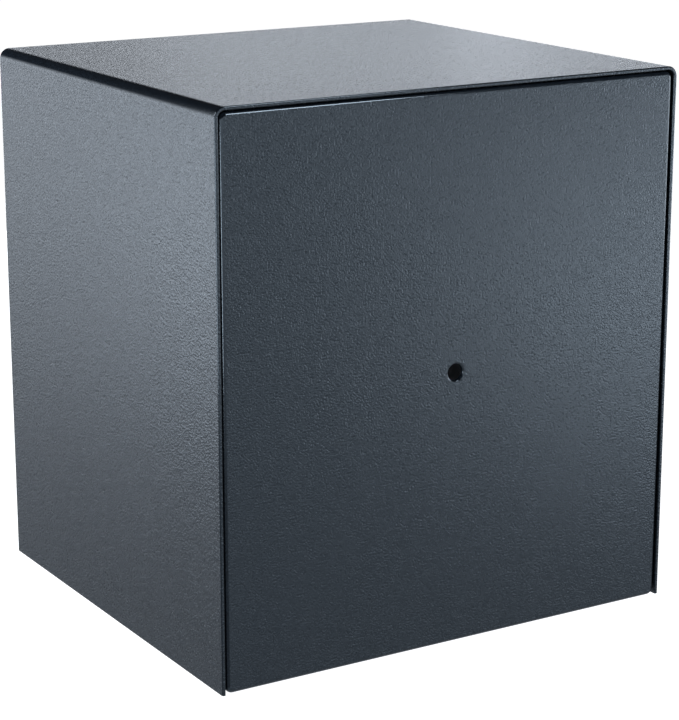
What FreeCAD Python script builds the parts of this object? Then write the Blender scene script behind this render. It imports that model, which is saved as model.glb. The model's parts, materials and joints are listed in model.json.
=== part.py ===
"""Small handgun safe: double-walled carcass, inset door on concealed pivots, bolt work and keypad lock.

Millimetres. +Z is up, the door faces -Y and the rear wall, with its anchoring hole, faces +Y.
The origin is on the floor, under the middle of the carcass. The door is closed and its bolts are drawn back.
"""
import math
import os

import FreeCAD
import Part
import Sketcher

DIMENSIONS = {
    # carcass
    "width": 440, "depth": 400, "height": 470,
    "wrap_sheet": 3, "wrap_bend": 9, "edge_round": 1, "inner_edge_round": 0.7,
    "panel_sheet": 3, "panel_gap": 1.3, "panel_bend": 3.5, "panel_corner": 6,
    "panel_flange": 24, "panel_recess": 0.5,
    "wall": 36, "casing_sheet": 2, "casing_bend": 3.5,
    "frame_depth": 20, "frame_sheet": 3, "lip": 16,
    "stop_width": 8, "stop_gap": 0.3, "stop_bar_end": 120,
    "anchor_radius": 7, "anchor_rim": 1.8, "sleeve_wall": 2, "infill_relief": 0.5, "flange_relief": 1,
    # fits
    "over": 1, "press_play": 0.02, "slip_play": 0.05, "loose_play": 0.2,
    # fittings inside
    "shelf_level": 248, "shelf_sheet": 2, "shelf_bend": 3, "shelf_flange": 16, "shelf_front": 75,
    "shelf_play": 3, "rail_leg": 18, "rail_setback": 6, "mat_thickness": 3, "mat_margin": 6, "mat_hole": 20,
    # door and pivots
    "door_gap": 2, "door_recess": 1, "door_plate": 8, "door_edge_round": 1, "pivot_inset": 14,
    "pin_radius": 4, "pin_reach": 13, "pin_root": 20, "block_height": 28, "block_depth": 20,
    "bush_wall": 2, "bush_flange": 1.7, "bush_length": 12,
    "dog_radius": 8, "dog_reach": 10, "dog_spacing": 170, "dog_root": 112,
    # bolt housing on the back of the door
    "housing_left": 150, "housing_right": 132, "housing_margin": 12, "housing_depth": 44,
    "housing_sheet": 2, "housing_lip": 14, "housing_bend": 3, "cover_sheet": 1.5,
    "cover_screw_radius": 2, "cover_screw_root": 4, "screw_head": 4, "screw_head_height": 2, "screw_slope": 1.2,
    "drive_radius": 1.3,
    # bolt work
    "bolt_radius": 8, "bolt_depth": 20, "bolt_length": 44, "bolt_rest": 156, "bolt_spacing": 120,
    "bolt_stud": 5, "bolt_chamfer": 1.5, "slide_play": 0.3,
    "carriage_sheet": 4, "carriage_flange": 6, "carriage_flange_depth": 20, "carriage_height": 280,
    "band_width": 46, "arm_reach": 75, "arm_bottom": 214, "arm_top": 259,
    "push_edge_drop": 18.8, "crank_slot_end": 0.8,
    "post_radius": 4, "post_offset": 95, "post_x": 88, "arm_post_x": 30, "post_end": 3,
    "spacer_radius": 6.5, "spacer_gap": 0.5, "clip_radius": 7, "clip_thickness": 1.2, "clip_gap": 0.6,
    # handle and crank
    "handle_x": 50, "crank_radius": 13, "crank_angle": 45, "crank_pin": 4, "crank_disc": 19,
    "crank_disc_thickness": 5, "crank_disc_gap": 3, "crank_pin_end": 2, "crank_slot": 9.2,
    "spindle_radius": 6, "spindle_reach": 41, "groove_start": 1, "groove_width": 1.3, "groove_depth": 1,
    "circlip_thickness": 1.2, "circlip_rim": 2.5, "bush_outer": 9, "collar_rim": 2, "collar_height": 1.5,
    "rosette_radius": 26, "rosette_height": 6, "rosette_hole": 12, "rosette_round": 3,
    "boss_radius": 17, "boss_height": 24, "boss_gap": 0.4, "boss_round": 1.5, "spindle_end_gap": 0.3,
    "grip_length": 104, "grip_width": 22, "grip_depth": 18, "grip_end_radius": 10, "grip_round": 6,
    "grub_radius": 2.5, "grub_level": 12, "grub_length": 9, "grub_gap": 0.1, "grub_socket": 1.2,
    "grub_socket_depth": 2,
    # electronic lock with a swing bolt
    "lock_x": 10, "lock_bottom": 282, "lock_width": 60, "lock_height": 84, "lock_depth": 30,
    "lock_wall": 3, "lock_corner": 5, "hard_plate": 4, "hard_margin": 10,
    "swing_inset": 8, "swing_length": 20, "swing_tip": 5, "swing_hub": 6.5, "swing_thickness": 8,
    "swing_pin": 3, "swing_play": 0.06, "swing_gap": 0.5, "swing_slot_play": 2.5, "swing_side_play": 1,
    "lock_cover": 2, "lock_screw": 2.5, "lock_screw_inset": 6, "lock_screw_root": 2,
    "lock_screw_head": 4, "lock_screw_head_height": 2.5, "lock_socket": 1.5, "lock_socket_depth": 1.5,
    "gear_box_half": 14, "gear_box_depth": 14, "gear_box_level": 36, "gear_box_height": 14,
    "motor_radius": 6, "motor_length": 18,
    # keypad
    "keypad_x": -75, "keypad_level": 265, "keypad_width": 84, "keypad_height": 124, "keypad_depth": 26,
    "keypad_corner": 9, "keypad_round": 4, "keypad_wall": 2.5, "keypad_front": 3,
    "key_width": 13.2, "key_height": 10.2, "key_play": 0.4, "key_pitch_x": 20, "key_pitch_z": 16.5,
    "key_raise": 1.8, "key_flange": 1.2, "key_travel": 1.2, "key_grid_level": 283, "cable_hole": 6,
    "key_corner": 2, "key_edge": 0.8, "key_flange_reach": 1.2, "key_flange_gap": 0.1, "key_stem": 2.5,
    "stem_gap": 0.3,
    "back_plate": 2, "plate_play": 0.2, "keypad_screw": 2, "keypad_screw_length": 8,
    "keypad_screw_head": 3.6, "keypad_screw_head_height": 2.2, "keypad_screw_x": 32, "keypad_screw_drop": 24,
    "board_inset": 13, "board_thickness": 1.6, "board_play": 0.1, "board_below": 34, "board_above": 36,
    "dome_mat": 1.6, "dome_base": 4.5, "dome_tip": 3, "dome_height": 1.2,
    "light_radius": 1.6, "light_spacing": 16, "light_level": 319.5, "light_proud": 0.4, "light_length": 5,
    "slot_play": 0.6, "slot_front_gap": 0.2, "slot_back_gap": 0.1,
    "tray_half": 31, "tray_sheet": 1.5, "tray_height": 29, "tray_lip": 1.5, "tray_front_gap": 0.8,
    "tray_edge": 1, "battery_play": 0.4, "battery_gap": 0.2, "battery_edge": 1.5,
    "battery_width": 48.5, "battery_height": 26.5, "battery_depth": 17.5,
}

KEY_ROWS = [
    ["key_1", "key_2", "key_3"],
    ["key_4", "key_5", "key_6"],
    ["key_7", "key_8", "key_9"],
    ["key_clear", "key_0", "key_enter"],
]


class Size:
    """A length or place: its value, and the spreadsheet formula that gives it."""

    def __init__(self, value, formula=None):
        self.value = float(value)
        self.formula = formula or repr(float(value))

    def joined(self, sign, other, value):
        return Size(value, f"({self.formula} {sign} {other.formula})")

    def __add__(self, other):
        return self.joined("+", as_size(other), self.value + as_size(other).value)

    def __sub__(self, other):
        return self.joined("-", as_size(other), self.value - as_size(other).value)

    def __mul__(self, other):
        return self.joined("*", as_size(other), self.value * as_size(other).value)

    def __truediv__(self, other):
        return self.joined("/", as_size(other), self.value / as_size(other).value)

    def __neg__(self):
        return Size(-self.value, f"(0 - {self.formula})")


def as_size(number):
    return number if isinstance(number, Size) else Size(number)


def sine(angle):
    return Size(math.sin(math.radians(angle.value)), f"sin({angle.formula} * 1 deg)")


def cosine(angle):
    return Size(math.cos(math.radians(angle.value)), f"cos({angle.formula} * 1 deg)")


doc = FreeCAD.newDocument("handgun_safe")
sheet = doc.addObject("Spreadsheet::Sheet", "Dims")
for row, (alias, number) in enumerate(DIMENSIONS.items(), start=1):
    sheet.set(f"A{row}", alias)
    sheet.set(f"B{row}", str(number))
    sheet.setAlias(f"B{row}", alias)
doc.recompute()


class Dimensions:
    """Every cell of the spreadsheet as a Size."""


dim = Dimensions()
for alias, number in DIMENSIONS.items():
    setattr(dim, alias, Size(number, f"Dims.{alias}"))

# ---------------------------------------------------------------- places worked out from the dimensions

half_width = dim.width / 2
front = -dim.depth / 2
back = dim.depth / 2
middle = dim.height / 2

inner_half = half_width - dim.wall
inner_floor = dim.wall
inner_top = dim.height - dim.wall
inner_back = back - dim.wall
frame_back = front + dim.frame_depth
opening_half = inner_half - dim.lip
opening_floor = inner_floor + dim.lip
opening_top = inner_top - dim.lip

door_front = front + dim.door_recess
door_back = door_front + dim.door_plate
door_half = opening_half - dim.door_gap
door_floor = opening_floor + dim.door_gap
door_top = opening_top - dim.door_gap
pivot_x = door_half - dim.pivot_inset
pivot_y = door_front + dim.pivot_inset

housing_floor = door_floor + dim.housing_margin
housing_top = door_top - dim.housing_margin
housing_back = door_back + dim.housing_depth
bolt_y = door_back + dim.bolt_depth
carriage_front = bolt_y - dim.carriage_sheet / 2
carriage_back = bolt_y + dim.carriage_sheet / 2
flange_left = dim.bolt_length - dim.bolt_rest
flange_right = flange_left + dim.carriage_flange

stroke = dim.crank_radius * sine(dim.crank_angle) * 2
crank_pin_x = dim.handle_x + stroke / 2
crank_pin_z = middle + dim.crank_radius * cosine(dim.crank_angle)
disc_back = carriage_front - dim.crank_disc_gap

boss_back = door_front - dim.rosette_height - dim.boss_gap

swing_pivot_z = dim.lock_bottom + dim.swing_inset
swing_tip_x = dim.lock_x + stroke / 2
lock_front = door_back + dim.hard_plate
lock_back = lock_front + dim.lock_depth

keypad_front = door_front - dim.keypad_depth
keypad_floor = dim.keypad_level - dim.keypad_height / 2
keypad_top = dim.keypad_level + dim.keypad_height / 2
keypad_inside = keypad_front + dim.keypad_front
board_front = door_front - dim.board_inset
mat_front = board_front - dim.dome_mat
dome_front = mat_front - dim.dome_height
back_plate_front = door_front - dim.back_plate
tray_back = back_plate_front - dim.slot_play

BOLT_LEVELS = [middle + dim.bolt_spacing * step for step in (-1, 0, 1)]
DOG_LEVELS = [middle + dim.dog_spacing / 2 * side for side in (-1, 1)]
POSTS = [
    (-dim.post_x, middle - dim.post_offset),
    (-dim.post_x, middle + dim.post_offset),
    (-dim.arm_post_x, middle),
]

# ---------------------------------------------------------------- helpers

TOLERANCE = 1e-4
PLANES = {"XY": ("XY_Plane", 1), "XZ": ("XZ_Plane", -1), "YZ": ("YZ_Plane", 1)}
TURNS = {
    "X": FreeCAD.Rotation(FreeCAD.Vector(0, 1, 0), 90),
    "Y": FreeCAD.Rotation(FreeCAD.Vector(1, 0, 0), -90),
    "Z": FreeCAD.Rotation(),
}
pieces = []


def bind(thing, path, size):
    thing.setExpression(path, as_size(size).formula)


def sub_part(thing, label):
    """Name a finished piece, so that it is checked and written."""
    thing.Label = label
    pieces.append(thing)
    return thing


def box(low, high):
    solid = doc.addObject("Part::Box", "block")
    for side, start, end in zip(("Length", "Width", "Height"), low, high):
        bind(solid, side, as_size(end) - start)
    for axis, start in zip("xyz", low):
        bind(solid, f"Placement.Base.{axis}", start)
    return solid


def cylinder(start, radius, length, axis):
    """A round bar that begins at start and runs length along +axis."""
    solid = doc.addObject("Part::Cylinder", "bar")
    solid.Placement = FreeCAD.Placement(FreeCAD.Vector(), TURNS[axis])
    bind(solid, "Radius", radius)
    bind(solid, "Height", length)
    for direction, place in zip("xyz", start):
        bind(solid, f"Placement.Base.{direction}", place)
    return solid


def cone(start, radius_start, radius_end, length, axis):
    solid = doc.addObject("Part::Cone", "taper")
    solid.Placement = FreeCAD.Placement(FreeCAD.Vector(), TURNS[axis])
    bind(solid, "Radius1", radius_start)
    bind(solid, "Radius2", radius_end)
    bind(solid, "Height", length)
    for direction, place in zip("xyz", start):
        bind(solid, f"Placement.Base.{direction}", place)
    return solid


def tube(start, outer, bore, length, axis):
    """A round bar with a bore that is open at both ends."""
    before = [as_size(place) for place in start]
    number = "XYZ".index(axis)
    before[number] = before[number] - dim.over
    return cut(cylinder(start, outer, length, axis), cylinder(before, bore, length + dim.over * 2, axis))


def fuse(*solids):
    whole = doc.addObject("Part::MultiFuse", "joined")
    whole.Shapes = list(solids)
    whole.Refine = True
    return whole


def cut(base, *tools):
    rest = doc.addObject("Part::Cut", "cut")
    rest.Base = base
    rest.Tool = fuse(*tools) if len(tools) > 1 else tools[0]
    return rest


def group(*solids):
    """Separate solids kept together as one sub-part."""
    several = doc.addObject("Part::Compound", "group")
    several.Links = list(solids)
    return several


def new_body(label):
    return sub_part(doc.addObject("PartDesign::Body", label), label)


def new_sketch(body, plane, level):
    """A sketch parallel to an origin plane of its own body, at the given place along the third axis."""
    role, sign = PLANES[plane]
    sketch = body.newObject("Sketcher::SketchObject", "outline")
    sketch.AttachmentSupport = [(next(o for o in body.Origin.OriginFeatures if o.Role == role), "")]
    sketch.MapMode = "FlatFace"
    bind(sketch, "AttachmentOffset.Base.z", as_size(level) * sign)
    return sketch


def settle(feature):
    """Recompute, and stop at a feature that failed."""
    doc.recompute()
    if "Invalid" in feature.State or "Error" in feature.State or feature.Shape.isNull():
        raise RuntimeError(f"{feature.Name} of {pieces[-1].Label} failed")


def hold(sketch, kind, geometry, point, size, name):
    """Constrain one coordinate or radius to its formula."""
    size = as_size(size)
    where = (geometry, size.value) if point is None else (geometry, point, size.value)
    index = sketch.addConstraint(Sketcher.Constraint(kind, *where))
    sketch.renameConstraint(index, name)
    bind(sketch, f"Constraints.{name}", size)


def draw_polygon(sketch, points, arcs=()):
    """A closed outline through the points; arcs maps a point's number to the radius of the bulge after it."""
    arcs = dict(arcs)
    points = [(as_size(u), as_size(v)) for u, v in points]
    flat = [FreeCAD.Vector(u.value, v.value, 0) for u, v in points]
    first = sketch.GeometryCount
    count = len(points)
    for number, start in enumerate(flat):
        end = flat[(number + 1) % count]
        if number in arcs:
            sketch.addGeometry(bulge(start, end, arcs[number].value), False)
        else:
            sketch.addGeometry(Part.LineSegment(start, end), False)
    for number in range(count):
        following = first + (number + 1) % count
        sketch.addConstraint(Sketcher.Constraint("Coincident", first + number, 2, following, 1))
    for number, (u, v) in enumerate(points):
        tag = first + number
        hold(sketch, "DistanceX", tag, 1, u, f"across{tag}")
        hold(sketch, "DistanceY", tag, 1, v, f"along{tag}")
        if number in arcs:
            hold(sketch, "Radius", tag, None, arcs[number], f"bulge{tag}")


def bulge(start, end, radius):
    """An anticlockwise arc of the given radius from start to end."""
    chord = end - start
    rise = radius - math.sqrt(radius ** 2 - (chord.Length / 2) ** 2)
    outward = FreeCAD.Vector(chord.y, -chord.x, 0).normalize()
    return Part.Arc(start, (start + end) / 2 + outward * rise, end)


def draw_rectangle(sketch, low, high):
    draw_polygon(sketch, [low, (high[0], low[1]), high, (low[0], high[1])])


def around(centre, across, up):
    """Opposite corners of a rectangle about a centre."""
    return (centre[0] - across, centre[1] - up), (centre[0] + across, centre[1] + up)


def draw_rounded(sketch, low, high, radius):
    """A rectangle with round corners."""
    left, right = low[0] + radius, high[0] - radius
    bottom, top = low[1] + radius, high[1] - radius
    draw_polygon(sketch, [
        (left, low[1]), (right, low[1]), (high[0], bottom), (high[0], top),
        (right, high[1]), (left, high[1]), (low[0], top), (low[0], bottom),
    ], arcs={1: radius, 3: radius, 5: radius, 7: radius})


def draw_circle(sketch, centre, radius):
    u, v = as_size(centre[0]), as_size(centre[1])
    shape = Part.Circle(FreeCAD.Vector(u.value, v.value, 0), FreeCAD.Vector(0, 0, 1), as_size(radius).value)
    tag = sketch.addGeometry(shape, False)
    hold(sketch, "DistanceX", tag, 3, u, f"across{tag}")
    hold(sketch, "DistanceY", tag, 3, v, f"along{tag}")
    hold(sketch, "Radius", tag, None, radius, f"round{tag}")


def pad(body, plane, level, length, draw, *shape, **options):
    """Draw a shape at level and extrude it along the third axis, towards plus."""
    sketch = new_sketch(body, plane, level)
    draw(sketch, *shape, **options)
    feature = body.newObject("PartDesign::Pad", "pad")
    feature.Profile = sketch
    feature.Reversed = PLANES[plane][1] < 0
    bind(feature, "Length", length)
    settle(feature)


def pocket(body, plane, level, length, *drawings):
    """Cut drawings out of the body, from level towards plus, and make sure that they cut."""
    before = body.Shape.Volume
    sketch = new_sketch(body, plane, level)
    for draw, *shape in drawings:
        draw(sketch, *shape)
    feature = body.newObject("PartDesign::Pocket", "pocket")
    feature.Profile = sketch
    feature.Reversed = PLANES[plane][1] > 0
    bind(feature, "Length", length)
    settle(feature)
    if body.Shape.Volume >= before:
        raise RuntimeError(f"a pocket of {body.Label} cuts nothing")


def round_holes(places, radius):
    """Drawings of equal circles."""
    return [(draw_circle, place, radius) for place in places]


def edges_where(body, test):
    """Names of the edges of the body so far whose box passes the test."""
    shape = body.Tip.Shape
    return [f"Edge{number}" for number, edge in enumerate(shape.Edges, start=1) if test(edge.BoundBox)]


def fillet(body, test, radius):
    chosen = (body.Tip, edges_where(body, test))
    feature = body.newObject("PartDesign::Fillet", "fillet")
    feature.Base = chosen
    bind(feature, "Radius", radius)
    settle(feature)


def near(first, second):
    return abs(first - as_size(second).value) < TOLERANCE


def in_plane(axis, place):
    """Test for edges that lie in the plane axis = place."""
    return lambda b: near(getattr(b, f"{axis}Min"), place) and near(getattr(b, f"{axis}Max"), place)


def along(axis):
    """Test for straight edges that run along an axis."""
    others = [other for other in "XYZ" if other != axis]

    def test(b):
        flat = all(getattr(b, f"{other}Length") < TOLERANCE for other in others)
        return flat and getattr(b, f"{axis}Length") > TOLERANCE
    return test


def both(*tests):
    return lambda b: all(test(b) for test in tests)


def either(*tests):
    return lambda b: any(test(b) for test in tests)


def outward_of(axis, limit):
    """Test for edges further from the middle plane of the axis than limit."""
    limit = as_size(limit).value
    return lambda b: min(abs(getattr(b, f"{axis}Min")), abs(getattr(b, f"{axis}Max"))) > limit - TOLERANCE


# ---------------------------------------------------------------- carcass

def outer_wrap():
    """One sheet folded over the top and both sides."""
    body = new_body("outer_wrap")
    inside = half_width - dim.wrap_sheet
    under = dim.height - dim.wrap_sheet
    pad(body, "XZ", front, dim.depth, draw_polygon, [
        (-half_width, 0), (-inside, 0), (-inside, under), (inside, under),
        (inside, 0), (half_width, 0), (half_width, dim.height), (-half_width, dim.height),
    ])
    fillet(body, both(along("Y"), in_plane("Z", dim.height)), dim.wrap_bend)
    fillet(body, both(along("Y"), in_plane("Z", under)), dim.wrap_bend - dim.wrap_sheet)
    bend = dim.wrap_bend.value
    outside = either(
        outward_of("X", half_width),
        in_plane("Z", dim.height),
        lambda b: b.XLength > 1 and near(b.ZMax, dim.height) and near(b.ZLength, bend),
    )
    rims = either(in_plane("Y", front), in_plane("Y", back))
    fillet(body, both(rims, outside, lambda b: not near(b.ZLength, 0) or b.XLength > bend), dim.edge_round)
    reach, level = inside.value + TOLERANCE, under.value + TOLERANCE
    fillet(body, both(rims, lambda b: -reach < b.XMin and b.XMax < reach and b.ZMax < level), dim.inner_edge_round)


def rear_panel():
    """A tray with rounded bends, set between the edges of the wrap."""
    body = new_body("rear_panel")
    half = half_width - dim.wrap_sheet - dim.panel_gap
    top = dim.height - dim.wrap_sheet - dim.panel_gap
    face = back - dim.panel_recess
    start = face - dim.panel_flange
    pad(body, "XZ", start, dim.panel_flange, draw_rectangle, (-half, 0), (half, top))
    fillet(body, along("Y"), dim.panel_corner)
    fillet(body, in_plane("Y", face), dim.panel_bend)
    inset = dim.panel_sheet
    pocket(body, "XZ", start, dim.panel_flange - inset,
           (draw_rectangle, (inset - half, inset), (half - inset, top - inset)))
    fillet(body, both(along("Y"), lambda b: b.ZMin > 1 and b.YLength > 10,
                      lambda b: abs(b.XMin) < (half - inset).value + TOLERANCE), dim.panel_corner - inset)
    pocket(body, "XZ", start, dim.panel_flange + dim.over, (draw_circle, (0, middle), dim.anchor_radius))
    fillet(body, both(in_plane("Y", face), lambda b: near(b.XLength, dim.anchor_radius * 2)), dim.anchor_rim)


def bottom_plate():
    half = half_width - dim.wrap_sheet
    end = back - dim.panel_recess - dim.panel_flange - dim.flange_relief
    plate = box((-half, front, 0), (half, end, dim.wrap_sheet))
    hole = cylinder((0, 0, -dim.over), dim.anchor_radius, dim.wrap_sheet + dim.over * 2, "Z")
    sub_part(cut(plate, hole), "bottom_plate")


def inner_wrap():
    """The top and sides of the compartment, folded from one sheet."""
    body = new_body("inner_wrap")
    skin = dim.casing_sheet
    outside = inner_half + skin
    bottom = inner_floor - skin
    pad(body, "XZ", frame_back, inner_back - frame_back, draw_polygon, [
        (-outside, bottom), (-inner_half, bottom), (-inner_half, inner_top), (inner_half, inner_top),
        (inner_half, bottom), (outside, bottom), (outside, inner_top + skin), (-outside, inner_top + skin),
    ])
    fillet(body, both(along("Y"), in_plane("Z", inner_top + skin)), dim.casing_bend)
    fillet(body, both(along("Y"), in_plane("Z", inner_top)), dim.casing_bend - skin)


def inner_floor_sheet():
    skin = dim.casing_sheet
    plate = box((-inner_half, frame_back, inner_floor - skin), (inner_half, inner_back, inner_floor))
    hole = cylinder((0, 0, inner_floor - skin - dim.over), dim.anchor_radius, skin + dim.over * 2, "Z")
    sub_part(cut(plate, hole), "inner_floor_sheet")


def inner_rear_sheet():
    skin = dim.casing_sheet
    outside = inner_half + skin
    plate = box((-outside, inner_back, inner_floor - skin), (outside, inner_back + skin, inner_top + skin))
    hole = cylinder((0, inner_back - dim.over, middle), dim.anchor_radius, skin + dim.over * 2, "Y")
    sub_part(cut(plate, hole), "inner_rear_sheet")


def wall_infill():
    """The poured filling between the two skins."""
    body = new_body("wall_infill")
    half = half_width - dim.wrap_sheet
    bottom = dim.wrap_sheet
    top = dim.height - dim.wrap_sheet
    flange_start = back - dim.panel_recess - dim.panel_flange - dim.flange_relief
    pad(body, "XZ", frame_back, flange_start - frame_back, draw_rectangle, (-half, bottom), (half, top))
    fillet(body, both(along("Y"), in_plane("Z", top)), dim.wrap_bend - dim.wrap_sheet + dim.infill_relief)
    inset = dim.panel_gap + dim.panel_sheet + dim.flange_relief
    tray_back = back - dim.panel_recess - dim.panel_sheet
    pad(body, "XZ", flange_start, tray_back - flange_start, draw_rectangle,
        (inset - half, bottom + dim.flange_relief), (half - inset, top - inset))
    skin = inner_half + dim.casing_sheet
    pocket(body, "XZ", frame_back, inner_back + dim.casing_sheet - frame_back,
           (draw_rectangle, (-skin, inner_floor - dim.casing_sheet), (skin, inner_top + dim.casing_sheet)))
    sleeve = dim.anchor_radius + dim.sleeve_wall
    pocket(body, "XZ", inner_back, dim.wall, (draw_circle, (0, middle), sleeve))
    pocket(body, "XY", 0, dim.wall, (draw_circle, (0, 0), sleeve))


def anchor_sleeves():
    """Tubes that keep the filling out of the two anchoring holes."""
    outer = dim.anchor_radius + dim.sleeve_wall
    rear_start = inner_back + dim.casing_sheet
    rear_length = back - dim.panel_recess - dim.panel_sheet - rear_start
    floor_length = inner_floor - dim.casing_sheet - dim.wrap_sheet
    rear = tube((0, rear_start, middle), outer, dim.anchor_radius, rear_length, "Y")
    floor = tube((0, 0, dim.wrap_sheet), outer, dim.anchor_radius, floor_length, "Z")
    sub_part(group(rear, floor), "anchor_sleeves")


def door_frame():
    """A folded channel round the doorway, open towards the wrap, with two holes for the pivot bushes."""
    body = new_body("door_frame")
    half = half_width - dim.wrap_sheet
    bottom = dim.wrap_sheet
    top = dim.height - dim.wrap_sheet
    fold = dim.frame_sheet
    pad(body, "XZ", front, dim.frame_depth, draw_rectangle, (-half, bottom), (half, top))
    fillet(body, both(along("Y"), in_plane("Z", top)), dim.wrap_bend - dim.wrap_sheet + dim.loose_play)
    pocket(body, "XZ", front, dim.frame_depth,
           (draw_rectangle, (-opening_half, opening_floor), (opening_half, opening_top)))
    web = opening_half + fold
    pocket(body, "XZ", front + fold, dim.frame_depth - fold * 2,
           (draw_rectangle, (-half - dim.over, bottom - dim.over), (half + dim.over, top + dim.over)),
           (draw_rectangle, (-web, opening_floor - fold), (web, opening_top + fold)))
    barrel = dim.pin_radius + dim.bush_wall + dim.slip_play
    for level in (opening_floor - dim.bush_length - dim.over, opening_top - dim.over):
        pocket(body, "XY", level, dim.bush_length + dim.over * 2, (draw_circle, (pivot_x, pivot_y), barrel))
    doorway = opening_half.value + TOLERANCE
    rim = both(in_plane("Y", front), lambda b: max(abs(b.XMin), abs(b.XMax)) < doorway)
    fillet(body, rim, dim.door_edge_round)


def door_stop_bars():
    """Bars inside the frame that the closed door plate stops against; none stands on the pivot side."""
    near_face = door_back + dim.stop_gap
    inside = dim.stop_width - opening_half
    lock_side = box((-opening_half, near_face, opening_floor), (inside, frame_back, opening_top))
    end = dim.stop_bar_end
    lower = box((inside, near_face, opening_floor), (end, frame_back, opening_floor + dim.stop_width))
    upper = box((inside, near_face, opening_top - dim.stop_width), (end, frame_back, opening_top))
    sub_part(group(lock_side, lower, upper), "door_stop_bars")


def hinge_bushes():
    """Flanged bushes in the frame, one below and one above the door."""
    barrel = dim.pin_radius + dim.bush_wall
    collar = barrel + dim.bush_wall
    bore = dim.pin_radius + dim.slip_play
    lowest = opening_floor - dim.bush_length
    lower = fuse(
        tube((pivot_x, pivot_y, lowest), barrel, bore, dim.bush_length, "Z"),
        tube((pivot_x, pivot_y, opening_floor), collar, bore, dim.bush_flange, "Z"),
    )
    upper = fuse(
        tube((pivot_x, pivot_y, opening_top), barrel, bore, dim.bush_length, "Z"),
        tube((pivot_x, pivot_y, opening_top - dim.bush_flange), collar, bore, dim.bush_flange, "Z"),
    )
    sub_part(group(lower, upper), "hinge_bushes")


def shelf():
    """A sheet shelf with its front edge folded down."""
    body = new_body("shelf")
    half = inner_half - dim.shelf_play
    start = front + dim.shelf_front
    end = inner_back - dim.shelf_play
    level = dim.shelf_level
    under = level - dim.shelf_sheet
    fold = start + dim.shelf_sheet
    pad(body, "YZ", -half, half * 2, draw_polygon, [
        (start, level - dim.shelf_flange), (fold, level - dim.shelf_flange), (fold, under),
        (end, under), (end, level), (start, level),
    ])
    fillet(body, both(along("X"), in_plane("Y", start), in_plane("Z", level)), dim.shelf_bend)


def shelf_rails():
    """Angle rails on the casing's side walls."""
    start = front + dim.shelf_front + dim.rail_setback
    end = inner_back - dim.shelf_play
    top = dim.shelf_level - dim.shelf_sheet
    under = top - dim.shelf_sheet
    rails = []
    for side in (-1, 1):
        wall = inner_half * side
        skin = (inner_half - dim.shelf_sheet) * side
        reach = (inner_half - dim.rail_leg) * side
        left, right = (wall, skin) if side < 0 else (skin, wall)
        leg = box((left, start, top - dim.rail_leg), (right, end, top))
        left, right = (wall, reach) if side < 0 else (reach, wall)
        rails.append(fuse(leg, box((left, start, under), (right, end, top))))
    sub_part(group(*rails), "shelf_rails")


def floor_mat():
    half = inner_half - dim.mat_margin
    mat = box((-half, frame_back + dim.mat_margin, inner_floor),
              (half, inner_back - dim.mat_margin, inner_floor + dim.mat_thickness))
    hole = cylinder((0, 0, inner_floor - dim.over), dim.mat_hole, dim.mat_thickness + dim.over * 2, "Z")
    sub_part(cut(mat, hole), "floor_mat")


# ---------------------------------------------------------------- door

def door_plate():
    """The thick front plate; its pivot-side edge is rounded about the pivot, so that it clears the frame."""
    body = new_body("door_plate")
    radius = dim.pivot_inset
    drop = pivot_y - door_back
    edge_x = Size(math.sqrt(radius.value ** 2 - drop.value ** 2),
                  f"sqrt({radius.formula} * {radius.formula} - {drop.formula} * {drop.formula})") + pivot_x
    pad(body, "XY", door_floor, door_top - door_floor, draw_polygon,
        [(-door_half, door_front), (pivot_x, door_front), (edge_x, door_back), (-door_half, door_back)],
        arcs={1: radius})
    fillet(body, both(along("Z"), in_plane("X", -door_half), in_plane("Y", door_front)), dim.door_edge_round)
    pocket(body, "XZ", door_front - dim.over, dim.door_plate + dim.over * 2,
           (draw_circle, (dim.handle_x, middle), dim.bush_outer),
           (draw_circle, (dim.keypad_x, dim.keypad_level), dim.cable_hole),
           *round_holes(keypad_screw_places(), dim.keypad_screw + dim.slip_play))


def bolt_housing():
    """The folded box on the back of the door that guides the bolts, with a lip for its cover."""
    body = new_body("bolt_housing")
    left, right = -dim.housing_left, dim.housing_right
    skin = dim.housing_sheet
    pad(body, "XZ", door_back, dim.housing_depth, draw_rectangle, (left, housing_floor), (right, housing_top))
    fillet(body, along("Y"), dim.housing_bend)
    pocket(body, "XZ", door_back, dim.housing_depth - skin,
           (draw_rectangle, (left + skin, housing_floor + skin), (right - skin, housing_top - skin)))
    lip = dim.housing_lip
    pocket(body, "XZ", door_back, dim.housing_depth + dim.over,
           (draw_rectangle, (left + lip, housing_floor + lip), (right - lip, housing_top - lip)))
    through = skin + dim.over * 2
    pocket(body, "YZ", left - dim.over, through,
           *round_holes([(bolt_y, level) for level in BOLT_LEVELS], dim.bolt_radius + dim.slide_play))
    pocket(body, "YZ", right - skin - dim.over, through,
           *round_holes([(bolt_y, level) for level in DOG_LEVELS], dim.dog_radius + dim.slip_play))
    pocket(body, "XZ", housing_back - skin - dim.over, through,
           *round_holes(cover_screw_places(), dim.cover_screw_radius + dim.slip_play))


def cover_screw_places():
    inset = dim.housing_lip / 2
    levels = (housing_floor + inset, (housing_floor + housing_top) / 2, housing_top - inset)
    return [(x, level) for x in (inset - dim.housing_left, dim.housing_right - inset) for level in levels]


def bolt_cover():
    body = new_body("bolt_cover")
    pad(body, "XZ", housing_back, dim.cover_sheet, draw_rectangle,
        (-dim.housing_left, housing_floor), (dim.housing_right, housing_top))
    fillet(body, along("Y"), dim.housing_bend)
    pocket(body, "XZ", housing_back - dim.over, dim.cover_sheet + dim.over * 2,
           *round_holes(cover_screw_places(), dim.cover_screw_radius + dim.loose_play))


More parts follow.
